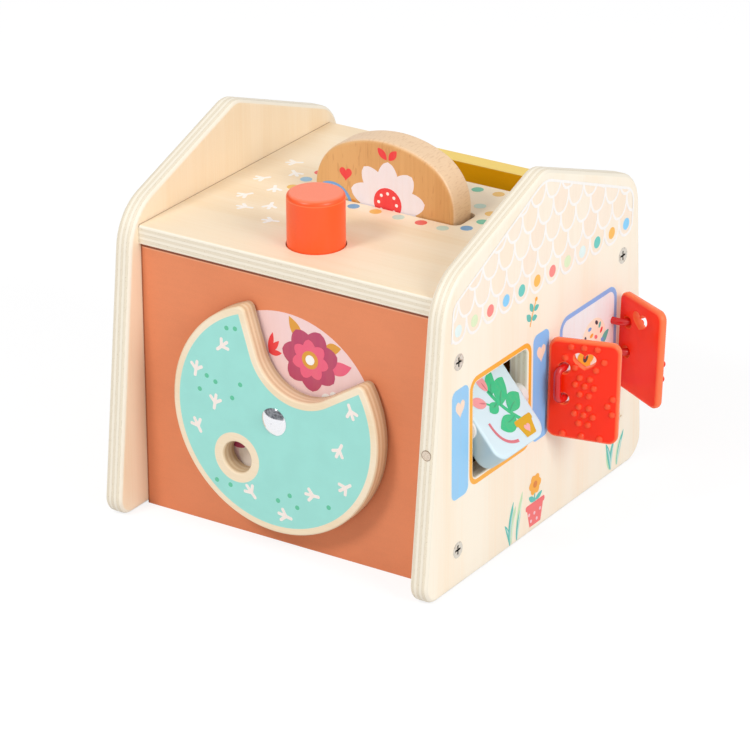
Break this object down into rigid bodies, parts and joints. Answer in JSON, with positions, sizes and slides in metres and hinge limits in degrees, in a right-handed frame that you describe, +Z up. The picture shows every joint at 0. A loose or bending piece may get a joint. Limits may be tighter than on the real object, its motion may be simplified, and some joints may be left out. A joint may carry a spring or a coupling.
{
  "type": "wooden activity house",
  "caption": "Baby's wooden play house with a turning notched disc, a peg that lifts an arched disc, a turning window plaque and soft shutters.",
  "frame": {"origin": "on the surface the house stands on, under the middle of its two side panels", "axes": "+Z up, -Y out of the front wall with the turning disc, +X out of the side with the window"},
  "size_m": [0.213, 0.1946, 0.1777],
  "materials": {
    "birch_ply": "clear lacquered birch plywood",
    "printed_ply": "pale printed birch plywood",
    "terracotta_ply": "satin terracotta paint on plywood",
    "mustard_ply": "satin mustard paint on plywood",
    "aqua_ply": "aqua print on plywood with a natural rim",
    "orange_wood": "satin orange paint on beech",
    "beech": "lacquered beech",
    "hardwood": "plain beech",
    "pale_blue_wood": "satin pale blue paint on wood",
    "steel": "zinc-plated screws",
    "steel_pin": "bright steel pin",
    "bright_metal": "polished nickel plate",
    "white_plastic": "glossy white",
    "red_silicone": "smooth translucent red silicone",
    "red_plastic": "glossy red"
  },
  "bodies": {
    "house": {"side_panel_left": "birch_ply", "side_panel_right": "printed_ply", "panel_screws_left": "steel", "panel_screws_right": "steel", "front_panel": "terracotta_ply", "rear_panel": "mustard_ply", "base_board": "birch_ply", "deck": "birch_ply", "deck_dowels": "hardwood", "spinner_rivet": "bright_metal", "spinner_washer": "white_plastic", "spinner_cap": "white_plastic", "rocker_pivot": "steel_pin", "rocker_bearing_left": "hardwood", "rocker_bearing_right": "hardwood", "bearing_screws": "steel", "plaque_axle": "hardwood", "plaque_bush_front": "white_plastic", "plaque_bush_rear": "white_plastic", "flap_loop_left": "red_plastic", "flap_loop_right": "red_plastic"},
    "spinner": {"spinner_disc": "aqua_ply"},
    "peg_button": {"peg": "orange_wood", "peg_retainer": "hardwood"},
    "pop_up": {"pop_up_disc": "beech", "pop_up_foot": "hardwood", "pop_up_foot_screws": "steel"},
    "rocker": {"rocker_lever": "hardwood"},
    "plaque": {"window_plaque": "pale_blue_wood"},
    "flap_left_body": {"flap_left": "red_silicone"},
    "flap_right_body": {"flap_right": "red_silicone"}
  },
  "joints": [
    {"name": "spinner_turn", "type": "hinge", "parent": "house", "child": "spinner", "pos_m": [0, -0.0809, 0.066], "axis": [0, -1, 0], "continuous": true},
    {"name": "peg_press", "type": "slide", "parent": "house", "child": "peg_button", "axis": [0, 0, -1], "range_m": [0, 0.02]},
    {"name": "pop_up_lift", "type": "slide", "parent": "house", "child": "pop_up", "axis": [0, 0, 1], "range_m": [0, 0.02]},
    {"name": "rocker_tilt", "type": "hinge", "parent": "house", "child": "rocker", "pos_m": [0, -0.0213, 0.1101], "axis": [1, 0, 0], "range_deg": [0, 38.81]},
    {"name": "plaque_turn", "type": "hinge", "parent": "house", "child": "plaque", "pos_m": [0.08475, -0.03575, 0.0722], "axis": [0, 1, 0], "continuous": true},
    {"name": "flap_left_swing", "type": "hinge", "parent": "house", "child": "flap_left_body", "pos_m": [0.0922, 0.0069, 0.0722], "axis": [0, 0, -1], "range_deg": [-73.5, 12.5]},
    {"name": "flap_right_swing", "type": "hinge", "parent": "house", "child": "flap_right_body", "pos_m": [0.0922, 0.0722, 0.0722], "axis": [0, 0, 1], "range_deg": [-65.5, 20.5]}
  ],
  "couplings": [
    {"joint": "pop_up_lift", "follows": "peg_press", "ratio": 1},
    {"joint": "rocker_tilt", "follows": "peg_press", "rad_per_m": 33.866}
  ]
}
